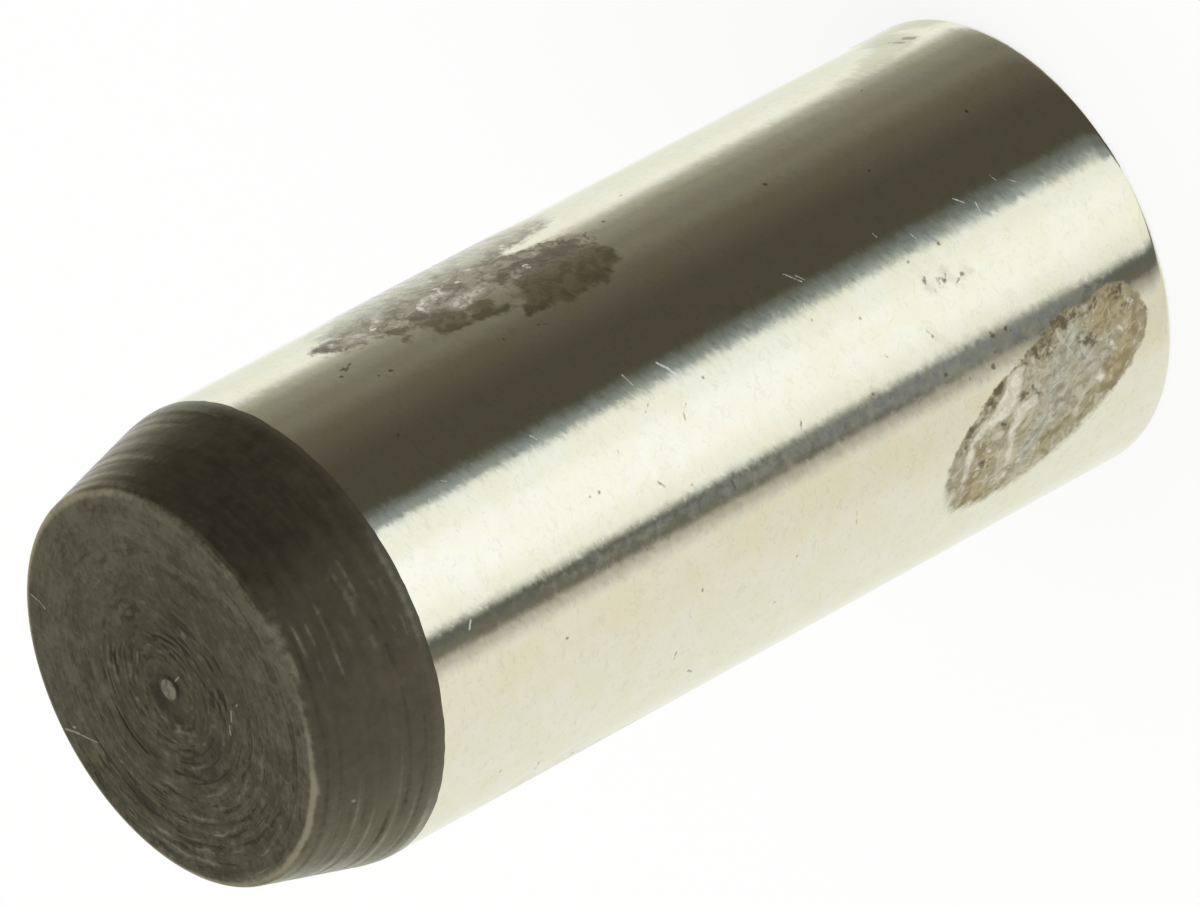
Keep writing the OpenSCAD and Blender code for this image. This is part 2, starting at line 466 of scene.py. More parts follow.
# Turning marks on the lead taper as (height, middle bearing, half its span, half width, tone), where
# a tone below 0 is a dark groove and above 0 a worn crest. Those at heights 20.33 to 20.42 are a
# painted highlight along the blend, and the one at 21.3 by bearing -1.5 a painted highlight on the
# taper; they are not crests.
leadLines = [
    (22.73, -46, 42, 0.07, -0.34), (22.43, -52, 24, 0.05, -0.3), (20.95, -46, 22, 0.06, -0.2),
    (20.62, -48, 20, 0.05, -0.2), (22.33, -62, 12, 0.035, -0.25), (22.57, -66, 14, 0.05, 0.22),
    (22.57, -5, 4.5, 0.05, 0.48), (22.33, -4.5, 4, 0.045, 0.42), (22.25, -72, 16, 0.035, 0.25),
    (22.02, -14, 4, 0.045, 0.4), (22.0, -3, 6, 0.045, 0.34), (22.0, -68, 22, 0.045, 0.3),
    (22.86, -10, 4, 0.06, 0.26), (22.4, -14, 4, 0.04, 0.25), (21.68, -9, 3, 0.04, 0.25),
    (21.2, -13, 3, 0.07, 0.34), (20.75, -14, 3, 0.05, 0.28), (20.6, -2, 3, 0.06, 0.3),
    (20.33, -50, 30, 0.08, 0.16), (20.33, -78, 16, 0.09, 0.2), (22.88, 18, 12, 0.12, -0.5),
    (22.12, -68, 24, 0.04, -0.25), (21.85, -72, 22, 0.05, -0.2), (21.6, -74, 16, 0.05, 0.2),
    (21.13, -66, 30, 0.05, 0.3), (21.14, 4, 5, 0.05, 0.36), (20.52, -12, 3, 0.05, 0.4),
    (21.0, -17, 3.5, 0.06, -0.4), (21.28, -76, 16, 0.05, -0.25), (20.76, -72, 16, 0.05, 0.22),
    (20.33, -5, 14, 0.09, 0.42), (20.42, -48, 16, 0.06, 0.12), (21.3, -1.5, 4, 0.15, 0.36),
    (21.35, 6, 2.5, 0.08, 0.26), (20.75, -2, 2, 0.06, 0.3), (22.45, 12, 4, 0.05, -0.3),
    (21.55, 5, 2, 0.12, 0.2), (21.9, -8, 5, 0.06, -0.3), (22.46, -6, 7, 0.04, -0.3),
    (22.68, -8, 8, 0.05, -0.3), (20.85, -6, 6, 0.05, -0.25), (21.05, -9, 3, 0.05, -0.3),
    (22.5, 84, 24, 0.06, 0.3), (22.24, 92, 16, 0.04, 0.2), (21.97, 90, 27, 0.06, 0.32),
    (21.5, 86, 20, 0.06, 0.26), (21.06, 94, 26, 0.05, 0.3), (20.8, 82, 14, 0.04, 0.25),
    (20.5, 84, 28, 0.04, 0.3), (22.37, 98, 34, 0.05, -0.2), (22.13, 88, 18, 0.05, -0.25),
    (21.8, 96, 30, 0.07, -0.28), (21.3, 88, 24, 0.09, -0.25), (20.92, 104, 38, 0.05, -0.22),
    (20.64, 86, 20, 0.05, -0.25), (22.7, 80, 24, 0.08, -0.22),
]
# and on the face, with a radius in place of the height
faceLines = [
    (2.0, -173, 19, 0.03, -1.0), (2.0, 151, 8, 0.05, -0.8), (2.05, 0, 6, 0.05, -0.7),
    (1.57, 140, 14, 0.03, -0.9), (1.7, 136, 8, 0.025, -0.8), (1.42, 128, 12, 0.025, -0.7),
    (1.85, 160, 10, 0.03, -0.6), (2.05, -93, 22, 0.025, -0.7), (1.9, -117, 12, 0.03, -0.9),
    (1.75, -88, 16, 0.025, -0.8), (1.6, -104, 20, 0.03, -0.8), (1.45, -78, 18, 0.025, -0.7),
    (1.3, -110, 15, 0.03, -0.8), (1.35, 32, 17, 0.03, -0.9), (1.2, 52, 18, 0.03, -0.9),
    (1.05, 38, 20, 0.025, -0.8), (0.9, 20, 20, 0.025, -0.7), (3.3, -149, 9, 0.05, -0.9),
    (2.58, 99, 3, 0.1, 0.3), (3.12, -146, 6, 0.045, -0.8), (3.55, -145, 15, 0.03, -0.5),
    (3.15, -112, 12, 0.02, 0.45), (3.35, -121, 11, 0.02, 0.45), (2.85, -110, 12, 0.02, 0.35),
    (3.62, -128, 20, 0.02, 0.3), (3.9, -45, 28, 0.02, 0.3), (3.78, -50, 22, 0.02, -0.35),
    (3.62, -42, 20, 0.02, 0.25), (3.93, -88, 26, 0.07, -0.45), (3.76, -36, 50, 0.035, -0.28),
    (3.5, -30, 16, 0.02, -0.3), (1.95, -80, 6, 0.02, 0.35), (1.52, -90, 8, 0.018, 0.35),
    (1.3, 140, 8, 0.02, 0.35), (2.15, -60, 10, 0.02, -0.5), (1.1, -60, 12, 0.025, -0.6),
]
# Scratches on the face as (x, y, x, y, half width), in mm
faceScratches = [
    (0.28, 4.1, 0.06, 3.72, 0.02), (0.03, 3.7, -0.26, 3.28, 0.012), (2.58, 2.64, 2.78, 2.7, 0.012),
    (2.82, 2.75, 2.96, 2.84, 0.014), (-1.36, -1.24, -1.2, -1.36, 0.016),
    (-1.14, -1.5, -0.96, -1.66, 0.012), (-0.92, -1.9, -0.9, -1.98, 0.01), (0.08, -0.3, 0.12, -0.55, 0.01),
    (0.22, 3.75, 0.24, 3.8, 0.02),
]


# How close the rows and columns stand: a plain density, and bands that add 1 to it, each with the
# four places where it starts, is full, starts to fade and ends
spacing = {
    "shank": (0.22, [(0.2, 0.5, 6.5, 6.9), (10.4, 10.8, 17.6, 18.0)]),  # mm from the foot
    "columns": (0.55, [(-67, -63, -19, -16), (36, 39, 78, 82)]),  # degrees
    "face": (0.55, [(-2.4, -2.1, 0, 0.1)]),  # mm, minus the radius
}
# Heights in mm of what is too fine for the solid
relief = {
    "film": 0.014,  # the dried film
    "crust": 0.006,  # the stain
    "lead": 0.006,  # a turning mark of tone 1 on the lead
    "leadSink": 0.008,  # the lead is set in this far, so that no mark stands proud
    "face": 0.01,
    "faceSink": 0.007,
    "ragged": 0.012,  # how far the edge of the black skin wanders
    "raggedSink": 0.005,
}


def ease(value, low, high):
    # 0 at low and 1 at high, by 3t^2 - 2t^3 between; low may be the larger one
    t = np.clip((value - low) / (high - low), 0, 1)
    return t * t * (3 - 2 * t)


def spacedBy(low, high, name, count):
    # count + 1 places from low to high, closer together where the density is larger: equal steps of
    # the running sum of density
    fine = np.linspace(low, high, 4001)
    middle = (fine[1:] + fine[:-1]) / 2
    plain, bands = spacing[name]
    density = plain + sum(ease(middle, a, b) * ease(middle, d, c) for a, b, c, d in bands)
    total = np.concatenate([[0], np.cumsum(density)])
    return np.interp(np.linspace(0, total[-1], count + 1), total, fine)


def softNoise(u, v, seed, across, along=64):
    # Smooth random heights from -1 to 1: seeded values on a lattice, read between its corners
    # with eased weights. The pattern repeats after that many cells each way.
    table = np.random.default_rng(seed).uniform(-1, 1, (across, along))
    i, j = np.floor(u).astype(int), np.floor(v).astype(int)
    a, b = ease(u - i, 0, 1), ease(v - j, 0, 1)
    i, j = i % across, j % along
    nextI, nextJ = (i + 1) % across, (j + 1) % along
    low = table[i, j] * (1 - a) + table[nextI, j] * a
    high = table[i, nextJ] * (1 - a) + table[nextI, nextJ] * a
    return low * (1 - b) + high * b


def ringNoise(bearing, across, count, size, seed, along=64):
    # softNoise with count cells round the pin, so that it closes, and cells of this size across
    return softNoise(bearing / 360 * count, across / size, seed, count, along)


def cornerArc(corner, into, outOf, radius, count):
    # Points of the arc that touches both sides of a corner: centre + radius * (cos a, sin a)
    corner, into, outOf = np.array(corner), np.array(into), np.array(outOf)
    turn = math.acos(np.clip(into @ outOf, -1, 1))
    start = corner - radius * math.tan(turn / 2) * into
    centre = start + radius * np.array([-into[1], into[0]])
    first = math.atan2(start[1] - centre[1], start[0] - centre[0])
    angle = first + np.linspace(0, turn, count)
    return centre + radius * np.stack([np.cos(angle), np.sin(angle)], 1)


def pinProfile():
    # Half section as rows of (radius, height): from the centre of the foot up the shank and the
    # lead taper, over the rim and in to the pip
    tilt = math.radians(pin["leadAngle"])
    radius, top = pin["radius"], pin["length"]
    faceRadius = radius - pin["leadLength"] * math.tan(tilt)
    taper = (-math.sin(tilt), math.cos(tilt))
    footPoints, blendPoints, rimPoints = pin["arcPoints"]
    foot = cornerArc((radius, 0.0), (1.0, 0.0), (0.0, 1.0), pin["footRadius"], footPoints)
    blendCorner = (radius, top - pin["leadLength"])
    blend = cornerArc(blendCorner, (0.0, 1.0), taper, pin["blendRadius"], blendPoints)
    rim = cornerArc((faceRadius, top), taper, (-1.0, 0.0), pin["rimRadius"], rimPoints)
    skin = blend[0][1] - pin["wheelGap"]
    shank = spacedBy(foot[-1][1], skin, "shank", pin["shankRows"])[1:]
    lead = np.linspace(0, 1, pin["leadRows"] + 2)[1:-1, None]
    face = -spacedBy(-rim[-1][0], -pin["dishRadius"], "face", pin["faceRows"])[1:]
    flat = np.linspace(0, 1, pin["flatRows"] + 1)
    dish = pin["dishRadius"] + flat[1:] * (pin["pipRadius"] + pin["dishDepth"] - pin["dishRadius"])
    pipTop = top - pin["dishDepth"] * (1 - pin["pipShare"])
    rows = [
        np.stack([flat[:-1] * foot[0][0], 0 * flat[:-1]], 1),
        foot,
        np.stack([np.full(len(shank), radius), shank], 1),
        blend,
        blend[-1] * (1 - lead) + rim[0] * lead,
        rim,
        np.stack([face, np.full(len(face), top)], 1),
        np.stack([dish, top - flat[1:] * pin["dishDepth"]], 1),
        np.stack([[share * pin["pipRadius"], pipTop] for share in pin["pipRows"]]),
    ]
    return np.concatenate(rows), skin, faceRadius


def strokeField(bearing, height, strokes):
    # Distance in mm to the nearest stroke, less the radius of its brush: for each link of a
    # stroke, the distance to the nearest place on it, where the radius runs evenly along it
    nearest = np.full(bearing.shape, 9.0)
    for stroke in strokes:
        for (b0, z0, r0), (b1, z1, r1) in zip(stroke[:-1], stroke[1:]):
            runB, runZ = (b1 - b0) * degree, z1 - z0
            awayB, awayZ = (bearing - b0) * degree, height - z0
            share = np.clip((awayB * runB + awayZ * runZ) / (runB ** 2 + runZ ** 2), 0, 1)
            away = np.hypot(awayB - share * runB, awayZ - share * runZ)
            nearest = np.minimum(nearest, away - r0 - share * (r1 - r0))
    return nearest


def outlineField(bearing, height, corners):
    # Distance in mm to a closed outline, below 0 inside, where a level line from the place
    # crosses the outline an odd number of times
    after = corners[1:] + corners[:1]
    away = strokeField(bearing, height, [[corner + (0.0,) for corner in corners[:1] + after]])
    inside = np.zeros(bearing.shape, bool)
    for (b0, z0), (b1, z1) in zip(corners, after):
        crosses = (z0 > height) != (z1 > height)
        inside ^= crosses & (bearing < b0 + (b1 - b0) * (height - z0) / (z1 - z0 or 1))
    return np.where(inside, -away, away)


def lineField(bearing, across, lines):
    # Sum over the turning marks of tone * exp(-(gap / half width)^2), which fades past each end
    total = np.zeros(bearing.shape)
    for place, middle, halfSpan, halfWidth, tone in lines:
        aside = np.abs((bearing - middle + 180) % 360 - 180)
        past = np.maximum(aside - halfSpan * 0.6, 0) / (halfSpan * 0.4)
        wander = 0.012 * np.sin(np.radians(bearing * 3 + place * 200))
        total += tone * np.exp(-((across - place + wander) / halfWidth) ** 2 - past ** 2)
    return total


def shankRelief(bearing, z, fields):
    # Height in mm of the dried film and the stain's crust over the shank: lumps and grains of
    # smooth noise, where the marks are
    arc = bearing * degree
    lumps = 0.6 * softNoise(arc / 0.42 + 40, z / 0.42, 3, 97)
    lumps = lumps + 0.4 * softNoise(arc / 0.17 + 90, z / 0.17, 4, 211)
    film = ease(fields["residue"] + 0.05 * lumps, -0.05, -0.25)
    wiped = ease(fields["wiped"] + 0.1 * lumps, 0.0, 0.15)
    crust = ease(fields["stain"] + 0.2 * lumps, -0.1, -0.4)
    return film * wiped * relief["film"] * (0.6 + 0.55 * lumps) + crust * relief["crust"] * lumps


def leadTone(bearing, z):
    # Turning marks round the lead: the named ones, and faint random ones that are long round the
    # pin and short along it
    fine = ringNoise(bearing, z, 11, 0.07, 12, 90) + 0.6 * ringNoise(bearing, z, 37, 0.12, 13, 60)
    sides = ease(np.abs(bearing), 52, 72)
    # the -X side, where the marks are drawn stronger and the lead is painted paler
    worn = ease(bearing, -46, -62) * ease(bearing, -125, -100)
    lines = lineField(bearing, z, leadLines) * (1 + 0.4 * worn)
    return lines + (0.06 + 0.12 * sides + 0.14 * worn) * fine


def faceTone(bearing, radius):
    # Facing marks: the named ones, and random cuts, dense near the centre, as arcs of noise
    wavy = radius + 0.05 * ringNoise(bearing, radius, 31, 0.3, 28)
    outer = ringNoise(bearing, radius, 37, 0.1, 21, 90)
    inner = ringNoise(bearing, wavy, 29, 0.08, 22, 90)
    cuts = np.where(radius > 1.25, outer, inner)
    crowd = 0.65 + 0.35 * ringNoise(bearing, radius, 13, 0.5, 23)
    near = ease(radius, 2.3, 1.9) * ease(radius, 0.5, 0.7)
    farSide = ease(np.abs((bearing + 130 + 180) % 360 - 180), 75, 30)
    patch = ease(ringNoise(bearing, radius, 11, 0.6, 25), 0.0, 0.5)
    random = -0.75 * ease(cuts, 0.1, 0.5) * crowd + 0.3 * ease(cuts, -0.3, -0.75)
    fine = ringNoise(bearing, radius, 29, 0.1, 24, 90)
    share = np.maximum(near, (0.2 + 0.45 * patch + 0.25 * farSide) * ease(radius, 4.1, 3.9))
    lines = 0.85 * lineField(bearing, radius, faceLines)
    return lines + random * share + (0.12 + 0.1 * farSide) * fine


zones = {
    # where one part of the lead end fades into the next: heights from the foot or radii, in mm
    "leadStart": (20.17, 20.3),  # the turning marks start above the ragged edge of the skin
    "leadEnd": (22.98, 22.9),
    "lowPale": (22.1, 20.9),  # the skin gets paler down the lead
    "thin": (20.5, 20.2),
    "face": (22.9, 22.96),
    "faceEnd": (4.22, 4.1),  # the facing marks end at the rim
    "faceReliefEnd": (4.15, 4.05),
    "rim": (3.95, 4.15),
    "ringsStart": (1.9, 2.5),  # fine rings on the face
    "ringsEnd": (4.14, 4.0),
    "pip": (0.45, 0.62),  # the facing marks end at the pip
    "pipRelief": (0.55, 0.7),
    # where the painted shade in the dish round the pip fades
    "pipHalo": (0.85, 0.35),
    "pipTop": (0.25, 0.2),
}
rimWearAndHighlight = {
    # bearing: how pale the rim is painted there, and over what half width in mm: partly real wear of
    # the skin, partly a painted highlight where the rim catches the light, palest towards -X and +X
    "bearings": (-180, -95, -75, -55, -40, -25, -10, 0, 10, 20, 35, 60, 75, 90, 180),
    "wearAndHighlight": (0.3, 0.75, 0.95, 1.0, 0.95, 0.68, 0.38, 0.42, 0.46, 0.35, 0.25, 0.4, 0.75, 0.9, 0.4),
    "width": (0.08, 0.1, 0.1, 0.08, 0.075, 0.08, 0.13, 0.16, 0.16, 0.15, 0.14, 0.13, 0.11, 0.11, 0.08),
    "middle": 4.235,  # mm from the axis
    "bottom": 22.7,  # mm from the foot
}
skinLightAndTone = {
    # bearing: how pale the skin is painted on the lead there, from 0 to 1: painted light and reflection,
    # palest towards -X and round the back, darkest from 0 to 65
    "bearings": (-180, -100, -60, -35, -15, 0, 15, 30, 50, 65, 90, 120, 180),
    "pale": (0.5, 0.58, 0.65, 0.5, 0.29, 0.2, 0.16, 0.18, 0.2, 0.2, 0.26, 0.5, 0.5),
    "low": 0.13,  # and how much paler next to the shank
    "face": 0.34,  # on the face, where spots of it vary by as much
    "shadeAt": (1.2, -1.8, 1.3),  # a darker place on the face: x, y and radius, mm
}


def skinFields(bearing, radius, z):
    # tone, from -1 in a groove to 1 on a worn crest: the lead's or the face's marks, and a bell across
    # the rim of wear and painted highlight. pale, from 0 to 1: painted light by bearing on the lead, and
    # spots of noise and painted light on the face.
    onFace = ease(z, pin["length"] - 0.06, pin["length"] - 0.02)
    wearAndHighlight = np.interp(bearing, rimWearAndHighlight["bearings"], rimWearAndHighlight["wearAndHighlight"])
    width = np.interp(bearing, rimWearAndHighlight["bearings"], rimWearAndHighlight["width"])
    uneven = ringNoise(bearing, 0 * z, 47, 1, 31)
    broken = ringNoise(bearing, radius, 113, 0.12, 33)
    # the rim's bell: real wear of the skin and a painted highlight where the rim catches the light
    rim = wearAndHighlight * (1 + 0.2 * uneven + 3 * (width - 0.07) * broken) * (z > rimWearAndHighlight["bottom"])
    rim = rim * np.exp(-((radius - rimWearAndHighlight["middle"] - 0.02 * uneven) / width) ** 2)
    tone = leadTone(bearing, z) * (1 - onFace)
    tone = tone + faceTone(bearing, radius) * onFace * ease(radius, *zones["faceEnd"])
    tone = tone * ease(radius, *zones["pip"]) * ease(z, *zones["leadStart"]) + rim
    # painted light: the lead's paleness by bearing
    pale = np.interp(bearing, skinLightAndTone["bearings"], skinLightAndTone["pale"])
    pale = pale + skinLightAndTone["low"] * ease(z, *zones["lowPale"])
    x, y = radius * np.sin(np.radians(bearing)), -radius * np.cos(np.radians(bearing))
    spots = 0.6 * softNoise(x / 0.4 + 50, y / 0.4 + 50, 26, 97)
    spots = spots + 0.4 * softNoise(x / 0.17 + 80, y / 0.17 + 80, 27, 197)
    shadeX, shadeY, shadeSize = skinLightAndTone["shadeAt"]
    shade = np.exp(-((x - shadeX) ** 2 + (y - shadeY) ** 2) / shadeSize ** 2)
    ring = np.exp(-((radius - 1.3) / 0.7) ** 2)
    # painted light: the face is painted paler towards +X and -Y, over random spots of its own tone
    facePaleAndLit = skinLightAndTone["face"] * (1 + spots) + 0.04 * x - 0.0125 * y
    facePaleAndLit = facePaleAndLit + 0.2 * ease(radius, 1.2, 4.3) - 0.25 * shade - 0.2 * ring
    return tone, pale * (1 - onFace) + facePaleAndLit * onFace


def closedMesh(name, grid, bottom, top, areas, fields):
    # Quads between neighbouring rows and columns, and a fan of triangles to each end on the axis
    rows, columns = grid.shape[:2]
    points = np.concatenate([grid.reshape(-1, 3), [bottom, top]]) * mm
    index = np.arange(rows * columns).reshape(rows, columns)
    after = np.roll(index, -1, axis=1)
    quads = np.stack([index[:-1], after[:-1], after[1:], index[1:]], 2).reshape(-1, 4)
    low = np.full(columns, rows * columns)
    under = np.stack([after[0], index[0], low], 1)
    over = np.stack([index[-1], after[-1], low + 1], 1)
    mesh = bpy.data.meshes.new(name)
    mesh.from_pydata(points, [], quads.tolist() + under.tolist() + over.tolist())
    mesh.shade_smooth()
    ends = np.repeat([areas[0, 0], areas[-1, 0]], columns)
    finish = np.append(areas[:-1].ravel(), ends).astype(np.int32)
    mesh.polygons.foreach_set("material_index", finish)
    for field, values in fields.items():
        layer = mesh.attributes.new(field, "FLOAT", "POINT")
        values = np.append(values.ravel(), [values[0].mean(), values[-1].mean()])
        layer.data.foreach_set("value", values.astype(np.float32))
    piece = bpy.data.objects.new(name, mesh)
    bpy.context.scene.collection.objects.link(piece)
    return piece


def inArea(bearing, z, area, margin=0.0):
    # true inside the area, made larger all round by a margin in mm
    wide = margin / degree
    return ((bearing > area[0] - wide) & (bearing < area[1] + wide)
            & (z > area[2] - margin) & (z < area[3] + margin))


def makePin():
    # x = radius * sin(bearing), y = -radius * cos(bearing), z = height, for every row of the
    # half section and every bearing, with the reliefs added along the surface's own normal
    rows, skin, faceRadius = pinProfile()
    bearing = spacedBy(-180, 180, "columns", pin["columns"])[None, :-1]
    radius, z = rows[1:-1, 0][:, None] + 0 * bearing, rows[1:-1, 1][:, None] + 0 * bearing
    angle = np.radians(bearing)
    bearing = bearing + 0 * radius
    stained = [outlineField(bearing, z, stain[name]) for name in ("darkLow", "darkHigh")]
    whitish = [strokeField(bearing, z, area["pale"]) for area in (residue, stain)]
    tone, pale = skinFields(bearing, radius, z)
    fields = {
        "residue": outlineField(bearing, z, residue["outline"]),
        "haze": strokeField(bearing, z, haze),
        "dull": strokeField(bearing, z, dullStreaks),
        "whitish": np.minimum(*whitish),
        "stain": outlineField(bearing, z, stain["outline"]),
        "dark": np.minimum(np.minimum(*stained), strokeField(bearing, z, stain["dark"])),
        "tone": tone,
        # pale carries painted light: the lead's paleness by bearing and the face's paler side
        "pale": pale,
    }
    for name in ("wiped", "brown", "ochre"):
        fields[name] = strokeField(bearing, z, residue[name])
    onShank = (z < skin - 0.01) & (z > pin["footRadius"])
    onLead = ease(z, skin + 0.05, skin + 0.3) * (radius > faceRadius - 0.02)
    onLead = onLead * ease(z, *zones["leadEnd"])
    onFace = ease(radius, *zones["pipRelief"]) * ease(radius, *zones["faceReliefEnd"])
    onFace = onFace * (z > zones["face"][0])
    radius = radius + onShank * shankRelief(bearing, z, fields)
    radius = radius + onLead * (relief["lead"] * tone - relief["leadSink"])
    z = z + onFace * (relief["face"] * np.minimum(tone, 0.6) - relief["faceSink"])
    ragged = relief["ragged"] * ringNoise(bearing, 0 * z, 150, 1, 32) - relief["raggedSink"]
    z = z + np.where(np.abs(z - skin) < 1e-6, ragged, 0.0)
    # each quad's finish, by the place of its middle
    after = np.roll(bearing, -1, axis=1)
    middle = (bearing + after + 360 * (after < bearing)) / 2
    above = np.vstack([z[1:], z[-1:]])
    areas = np.where(inArea(middle, (z + above) / 2, residueArea), 1, 0)
    areas = np.where(inArea(middle, (z + above) / 2, stainArea), 2, areas)
    areas = np.where(above > skin + 0.02, 3, areas)
    grid = np.stack([radius * np.sin(angle), -radius * np.cos(angle), z], 2)
    return closedMesh("dowel", grid, (0, 0, rows[0][1]), (0, 0, rows[-1][1]), areas, fields)


dowel = makePin()
print("pin shaped:", len(dowel.data.polygons), "faces")


def cover(under, mask, **layer):
    # a layer of colour, metal, rough or coat that hides what is under it where mask is 1
    over = dict(under)
    for name, value in layer.items():
        mixed = mask.blend if name == "colour" else mask.between
        over[name] = mixed(under[name], value)
    return over


def mottled(mask, shades, low=0.42, high=0.58):
    # a pair of colours, mixed by noise
    return mask.step(low, high).blend(*shades)


def painted(colour, *layers):
    # a colour under layers, each a mask and the colour that it brings
    for mask, shade in layers:
        colour = mask.blend(colour, shade)
    return colour


def fieldOf(w, name):
    return w.node("ShaderNodeAttribute", {"attribute_name": name}, out=2)


def unrolledMarks(marks, area=None, outside=()):
    # marks with their bearings as mm round the pin: those near an area, or not deep inside others
    kept = []
    for mark in marks:
        far = area and not inArea(mark[0], mark[1], area, 0.4)
        if far or any(inArea(mark[0], mark[1], other, -0.4) for other in outside):
            continue
        bearings = (0, 2) if len(mark) == 5 else (0,)
        kept.append([value * degree if i in bearings else value for i, value in enumerate(mark)])
    return kept


def nearSpots(place, spots):
    # distance in mm from the nearest spot's edge
    nearest = None
    for x, y, radius in spots:
        away = place.vectors("DISTANCE", (x, y, 0), out=1) - radius
        nearest = away if nearest is None else nearest.maths("MINIMUM", away)
    return nearest


def nearLines(place, lines):
    # distance in mm from the nearest straight line's edge: to the nearest point of each
    nearest = None
    for x0, y0, x1, y1, half in lines:
        start = Vector((x0, y0, 0))
        run = Vector((x1, y1, 0)) - start
        away = place.vectors("SUBTRACT", tuple(start))
        share = away.vectors("DOT_PRODUCT", tuple(run / run.length_squared), out=1)
        share = share.maths("MAXIMUM", 0).maths("MINIMUM", 1)
        back = share.node("ShaderNodeVectorMath", {"operation": "SCALE"}, {0: tuple(-run), "Scale": share})
        gap = back.vectors("ADD", away).vectors("LENGTH", out=1) - half
        nearest = gap if nearest is None else nearest.maths("MINIMUM", gap)
    return nearest


steel = {
    "colour": rgb(251, 251, 249),
    "warm": rgb(250, 248, 240),
    "cool": rgb(244, 247, 244),
    "dull": rgb(216, 213, 197),
    "tick": rgb(228, 230, 219),  # fine short flecks all over
    "haze": (rgb(212, 212, 196), rgb(204, 209, 206)),
    "roughness": 0.085,
    "hairTilt": 0.018,  # slope along the pin that the fine grinding hairs give
    "waveTilt": 0.028,  # slope round the pin of its soft waves
    "dentTilt": 0.008,  # and of the small dents
    "sheen": {"Anisotropic": 0.5, "Anisotropic Rotation": 0.25},
}
markFinishes = [
    # marks, how their distance is found, soft edge, share of wobble, strength and finish
    (specks, nearSpots, 0.035, 1.0, 0.75, {"colour": rgb(124, 114, 98)}),
    (darkScratches, nearLines, 0.028, 0.8, 0.7, {"colour": rgb(124, 116, 100)}),
    # painted glints on the light scratches
    (glintingScratches, nearLines, 0.018, 0.2, 0.62, {"colour": rgb(214, 216, 207), "metal": 0.0}),
]


def startFinish(name):
    # a new material, and the place on the pin in mm: as it stands and unrolled
    material, w = newMaterial(name)
    corner = w.node("ShaderNodeTexCoord", out=3)
    place = w.node("ShaderNodeVectorMath", {"operation": "SCALE"}, {0: corner, "Scale": 1 / mm})
    x, y, z = place.parts()
    return material, w, place, w.joined(x.maths("ARCTAN2", -y) * pin["radius"], z, 0.0)


def groundSteel(w, place, unrolled, area=None, outside=()):
    # Bright ground steel: hairs round the pin, faint clouds, specks and scratches
    x, y, z = place.parts()
    hairs = w.noise((x * 0.9, y * 0.9, z * 7))
    clouds = w.noise(place, 1.1)
    patches = w.noise(place, 3.6, 2, 0.65)
    colour = painted(steel["colour"], (clouds.step(0.38, 0.62), steel["warm"]),
                     (patches.step(0.5, 0.66) * 0.5, steel["cool"]))
    surface = {"colour": colour, "metal": 1.0, "rough": steel["roughness"] + (hairs - 0.5) * 0.1}
    # each area's edge is its distance field with noise added, in mm
    dull = fieldOf(w, "dull") + (clouds - 0.5) * 0.9 + (hairs - 0.5) * 0.5
    surface = cover(surface, dull.step(0.15, -0.25) * 0.75, colour=steel["dull"], metal=0.85, rough=0.2)
    ticks = w.noise((x * 4, y * 4, z * 6), 1.0, 3, 0.7, 1.2)
    surface = cover(surface, ticks.step(0.54, 0.66) * 0.4, colour=steel["tick"])
    hazy = (fieldOf(w, "haze") + (patches - 0.5) * 0.7).step(0.2, -0.3)
    surface = cover(surface, hazy, colour=mottled(patches, steel["haze"]),
                    metal=ticks.step(0.38, 0.62).between(0.82, 0.75))
    wobble = (patches - 0.5) * 0.16 + (ticks - 0.5) * 0.14
    for marks, near, edge, rough, strength, finish in markFinishes:
        marks = unrolledMarks(marks, area, outside)
        if marks:
            mask = (near(unrolled, marks) + wobble * rough).step(edge, -0.02) * strength
            surface = cover(surface, mask, **finish)
    return surface


def steelTilt(w, place):
    # what turns the ground steel's normal: short slanting hairs, which slope along the pin, and soft
    # waves and a few small dents, which slope round it
    x, y, z = place.parts()
    hairs = w.noise((x * 2.6, y * 2.6, (z - x * 0.6) * 11), 1.0, 3, 0.75) - 0.5
    waves = w.noise(place, 3.6, 3, 0.6, 0.4) - 0.5
    dents = w.noise((x * 5, y * 5, z * 8 - x * 3), 1.0, 1, 0.5)
    dents = dents.step(0.6, 0.7) - dents.step(0.4, 0.3)
    aside = (waves * steel["waveTilt"] + dents * steel["dentTilt"]) / pin["radius"]
    hairs = hairs * waves.step(-0.08, 0.1).between(0.4, 1.6)
    return w.joined(-y * aside, x * aside, hairs * steel["hairTilt"])


def coating(w, surface, tilt=None, **fixed):
    # a shader, with a bump where there is a height, and the normal turned by the tilt
    normal = None
    if "height" in surface:
        values = {"Strength": 1.0, "Distance": 1.0, "Height": surface["height"]}
        normal = w.node("ShaderNodeBump", {}, values)
    if tilt:
        under = normal or w.node("ShaderNodeNewGeometry", out=1)
        normal = under.vectors("ADD", tilt).vectors("NORMALIZE")
    values = {"Base Color": surface["colour"], "Metallic": surface["metal"], "Roughness": surface["rough"]}
    if normal:
        values["Normal"] = normal
    if "coat" in surface:
        values["Coat Weight"] = surface["coat"]
    return w.node("ShaderNodeBsdfPrincipled", {}, {**values, **fixed})


def endFinish(material, w, shader, over=None, mask=None):
    # the material's output, with a second shader over the first where mask is 1
    if over:
        shader = w.node("ShaderNodeMixShader", {}, {0: mask, 1: shader, 2: over})
    w.node("ShaderNodeOutputMaterial", {}, {"Surface": shader})
    return material


def steelShader(w, place, surface):
    return coating(w, surface, steelTilt(w, place), **steel["sheen"])


def plainSteel():
    material, w, place, unrolled = startFinish("groundSteel")
    surface = groundSteel(w, place, unrolled, outside=(residueArea, stainArea))
    return endFinish(material, w, steelShader(w, place, surface))


